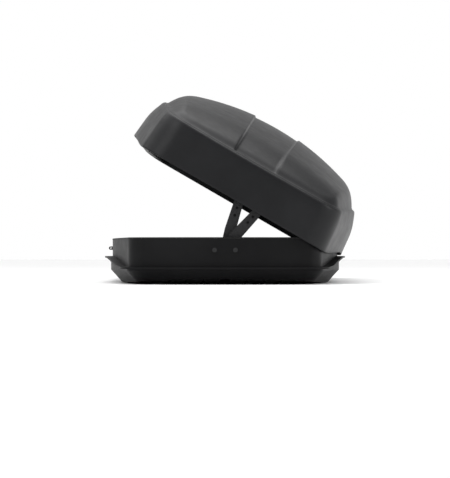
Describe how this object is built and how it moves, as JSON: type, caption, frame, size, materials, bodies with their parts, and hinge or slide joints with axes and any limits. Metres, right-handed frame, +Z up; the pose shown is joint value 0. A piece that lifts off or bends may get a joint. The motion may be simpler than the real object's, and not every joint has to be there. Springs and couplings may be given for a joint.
{
  "type": "roof cargo box",
  "caption": "Long low roof cargo box with a tapered nose: ribbed base, domed lid that opens from either side, arm lifters, lock rails and roof bar clamps.",
  "frame": {"origin": "on the plane of the base's bottom pads, at the middle of the length and width of the base", "axes": "+Z up, the nose points to -Y, +X to the right seen from the front"},
  "size_m": [0.9247, 1.948, 0.7197],
  "materials": {
    "lid_plastic": "satin near-black moulded shell",
    "base_plastic": "fine-grained matt black",
    "seal_rubber": "matt black",
    "knob_plastic": "grained grip",
    "trim_plastic": "satin black",
    "bright_steel": "turned and zinc plated",
    "black_steel": "dark powder coat",
    "plated_steel": "zinc plated",
    "rail_aluminium": "mill finish",
    "rib_plastic": "matt black"
  },
  "bodies": {
    "base": {"base_shell": "base_plastic", "rim_seal": "seal_rubber", "floor_rail_left": "rail_aluminium", "floor_rail_right": "rail_aluminium", "clamp_housings": "trim_plastic", "clamp_screws": "bright_steel", "hinge_cradles_left": "black_steel", "hinge_cradles_right": "black_steel", "cradle_rivets": "black_steel", "front_lifter_bracket": "black_steel", "rear_lifter_bracket": "black_steel", "front_lifter_pivot": "bright_steel", "rear_lifter_pivot": "bright_steel", "front_bracket_screws": "black_steel", "rear_bracket_screws": "black_steel"},
    "right_pins": {"hinge_pins_right": "bright_steel"},
    "lid": {"lid_shell": "lid_plastic", "lid_stiffeners": "rib_plastic", "lid_side_rail_left": "rail_aluminium", "lid_side_rail_right": "rail_aluminium", "hinge_lugs_left": "plated_steel", "hinge_lugs_right": "plated_steel", "hinge_pins_left": "bright_steel", "lock_housing_left": "trim_plastic", "lock_housing_right": "trim_plastic", "front_lifter_guide": "rail_aluminium", "rear_lifter_guide": "rail_aluminium"},
    "lock_left": {"lock_rail_left": "plated_steel", "lock_slider_left": "trim_plastic"},
    "key_left": {"key_cylinder_left": "bright_steel"},
    "lock_right": {"lock_rail_right": "plated_steel", "lock_slider_right": "trim_plastic"},
    "key_right": {"key_cylinder_right": "bright_steel"},
    "front_hub_left": {"front_arm_hub_left": "black_steel"},
    "front_arm_left": {"front_lifter_arm_left": "black_steel"},
    "front_hub_right": {"front_arm_hub_right": "black_steel"},
    "front_arm_right": {"front_lifter_arm_right": "black_steel"},
    "rear_hub_left": {"rear_arm_hub_left": "black_steel"},
    "rear_arm_left": {"rear_lifter_arm_left": "black_steel"},
    "rear_hub_right": {"rear_arm_hub_right": "black_steel"},
    "rear_arm_right": {"rear_lifter_arm_right": "black_steel"},
    "knob_front_left": {"clamp_knob_front_left": "knob_plastic"},
    "jaws_front_left": {"clamp_jaws_front_left": "plated_steel"},
    "knob_front_right": {"clamp_knob_front_right": "knob_plastic"},
    "jaws_front_right": {"clamp_jaws_front_right": "plated_steel"},
    "knob_rear_left": {"clamp_knob_rear_left": "knob_plastic"},
    "jaws_rear_left": {"clamp_jaws_rear_left": "plated_steel"},
    "knob_rear_right": {"clamp_knob_rear_right": "knob_plastic"},
    "jaws_rear_right": {"clamp_jaws_rear_right": "plated_steel"}
  },
  "joints": [
    {"name": "right_side_opening", "type": "hinge", "parent": "base", "child": "right_pins", "pos_m": [-0.427, 0, 0.125], "axis": [0, -1, 0], "range_deg": [0, 30]},
    {"name": "left_side_opening", "type": "hinge", "parent": "right_pins", "child": "lid", "pos_m": [0.427, 0, 0.125], "axis": [0, -1, 0], "range_deg": [0, 30], "stiffness_Nm_per_rad": 25, "springref_deg": -108.86},
    {"name": "left_lock_slide", "type": "slide", "parent": "lid", "child": "lock_left", "axis": [0, -1, 0], "range_m": [0, 0.015]},
    {"name": "left_key_turn", "type": "hinge", "parent": "lid", "child": "key_left", "pos_m": [-0.28642, 0.055, 0.60733], "axis": [-0.866, 0, 0.5], "range_deg": [0, 90]},
    {"name": "right_lock_slide", "type": "slide", "parent": "lid", "child": "lock_right", "axis": [0, -1, 0], "range_m": [0, 0.015]},
    {"name": "right_key_turn", "type": "hinge", "parent": "lid", "child": "key_right", "pos_m": [0.46183, 0.055, 0.17533], "axis": [0.866, 0, -0.5], "range_deg": [0, 90]},
    {"name": "front_left_arm_on_pivot", "type": "hinge", "parent": "base", "child": "front_hub_left", "pos_m": [0, -0.9, 0.127], "axis": [0, -1, 0], "range_deg": [-41.62, 0]},
    {"name": "front_left_arm_on_hub", "type": "hinge", "parent": "front_hub_left", "child": "front_arm_left", "pos_m": [0, -0.9, 0.127], "axis": [0, -1, 0], "range_deg": [0, 101.62]},
    {"name": "front_right_arm_on_pivot", "type": "hinge", "parent": "base", "child": "front_hub_right", "pos_m": [0, -0.9, 0.127], "axis": [0, -1, 0], "range_deg": [0, 101.62]},
    {"name": "front_right_arm_on_hub", "type": "hinge", "parent": "front_hub_right", "child": "front_arm_right", "pos_m": [0, -0.9, 0.127], "axis": [0, -1, 0], "range_deg": [-41.62, 0]},
    {"name": "rear_left_arm_on_pivot", "type": "hinge", "parent": "base", "child": "rear_hub_left", "pos_m": [0, 0.9, 0.127], "axis": [0, -1, 0], "range_deg": [-41.62, 0]},
    {"name": "rear_left_arm_on_hub", "type": "hinge", "parent": "rear_hub_left", "child": "rear_arm_left", "pos_m": [0, 0.9, 0.127], "axis": [0, -1, 0], "range_deg": [0, 101.62]},
    {"name": "rear_right_arm_on_pivot", "type": "hinge", "parent": "base", "child": "rear_hub_right", "pos_m": [0, 0.9, 0.127], "axis": [0, -1, 0], "range_deg": [0, 101.62]},
    {"name": "rear_right_arm_on_hub", "type": "hinge", "parent": "rear_hub_right", "child": "rear_arm_right", "pos_m": [0, 0.9, 0.127], "axis": [0, -1, 0], "range_deg": [-41.62, 0]},
    {"name": "front_left_knob_turn", "type": "hinge", "parent": "base", "child": "knob_front_left", "pos_m": [-0.3, -0.35, 0.09], "axis": [0, 0, 1], "range_deg": [0, 1090]},
    {"name": "front_left_jaw_travel", "type": "slide", "parent": "base", "child": "jaws_front_left", "axis": [0, 0, -1], "range_m": [0, 0.038]},
    {"name": "front_right_knob_turn", "type": "hinge", "parent": "base", "child": "knob_front_right", "pos_m": [0.3, -0.35, 0.09], "axis": [0, 0, 1], "range_deg": [0, 1090]},
    {"name": "front_right_jaw_travel", "type": "slide", "parent": "base", "child": "jaws_front_right", "axis": [0, 0, -1], "range_m": [0, 0.038]},
    {"name": "rear_left_knob_turn", "type": "hinge", "parent": "base", "child": "knob_rear_left", "pos_m": [-0.3, 0.35, 0.09], "axis": [0, 0, 1], "range_deg": [0, 1090]},
    {"name": "rear_left_jaw_travel", "type": "slide", "parent": "base", "child": "jaws_rear_left", "axis": [0, 0, -1], "range_m": [0, 0.038]},
    {"name": "rear_right_knob_turn", "type": "hinge", "parent": "base", "child": "knob_rear_right", "pos_m": [0.3, 0.35, 0.09], "axis": [0, 0, 1], "range_deg": [0, 1090]},
    {"name": "rear_right_jaw_travel", "type": "slide", "parent": "base", "child": "jaws_rear_right", "axis": [0, 0, -1], "range_m": [0, 0.038]}
  ],
  "couplings": [
    {"joint": "front_left_arm_on_pivot", "follows": "right_side_opening", "ratio": -1.3856},
    {"joint": "front_left_arm_on_hub", "follows": "left_side_opening", "ratio": 3.3856},
    {"joint": "front_right_arm_on_pivot", "follows": "right_side_opening", "ratio": 3.3856},
    {"joint": "front_right_arm_on_hub", "follows": "left_side_opening", "ratio": -1.3856},
    {"joint": "rear_left_arm_on_pivot", "follows": "right_side_opening", "ratio": -1.3856},
    {"joint": "rear_left_arm_on_hub", "follows": "left_side_opening", "ratio": 3.3856},
    {"joint": "rear_right_arm_on_pivot", "follows": "right_side_opening", "ratio": 3.3856},
    {"joint": "rear_right_arm_on_hub", "follows": "left_side_opening", "ratio": -1.3856},
    {"joint": "front_left_knob_turn", "follows": "front_left_jaw_travel", "rad_per_m": 500},
    {"joint": "front_right_knob_turn", "follows": "front_right_jaw_travel", "rad_per_m": 500},
    {"joint": "rear_left_knob_turn", "follows": "rear_left_jaw_travel", "rad_per_m": 500},
    {"joint": "rear_right_knob_turn", "follows": "rear_right_jaw_travel", "rad_per_m": 500}
  ]
}
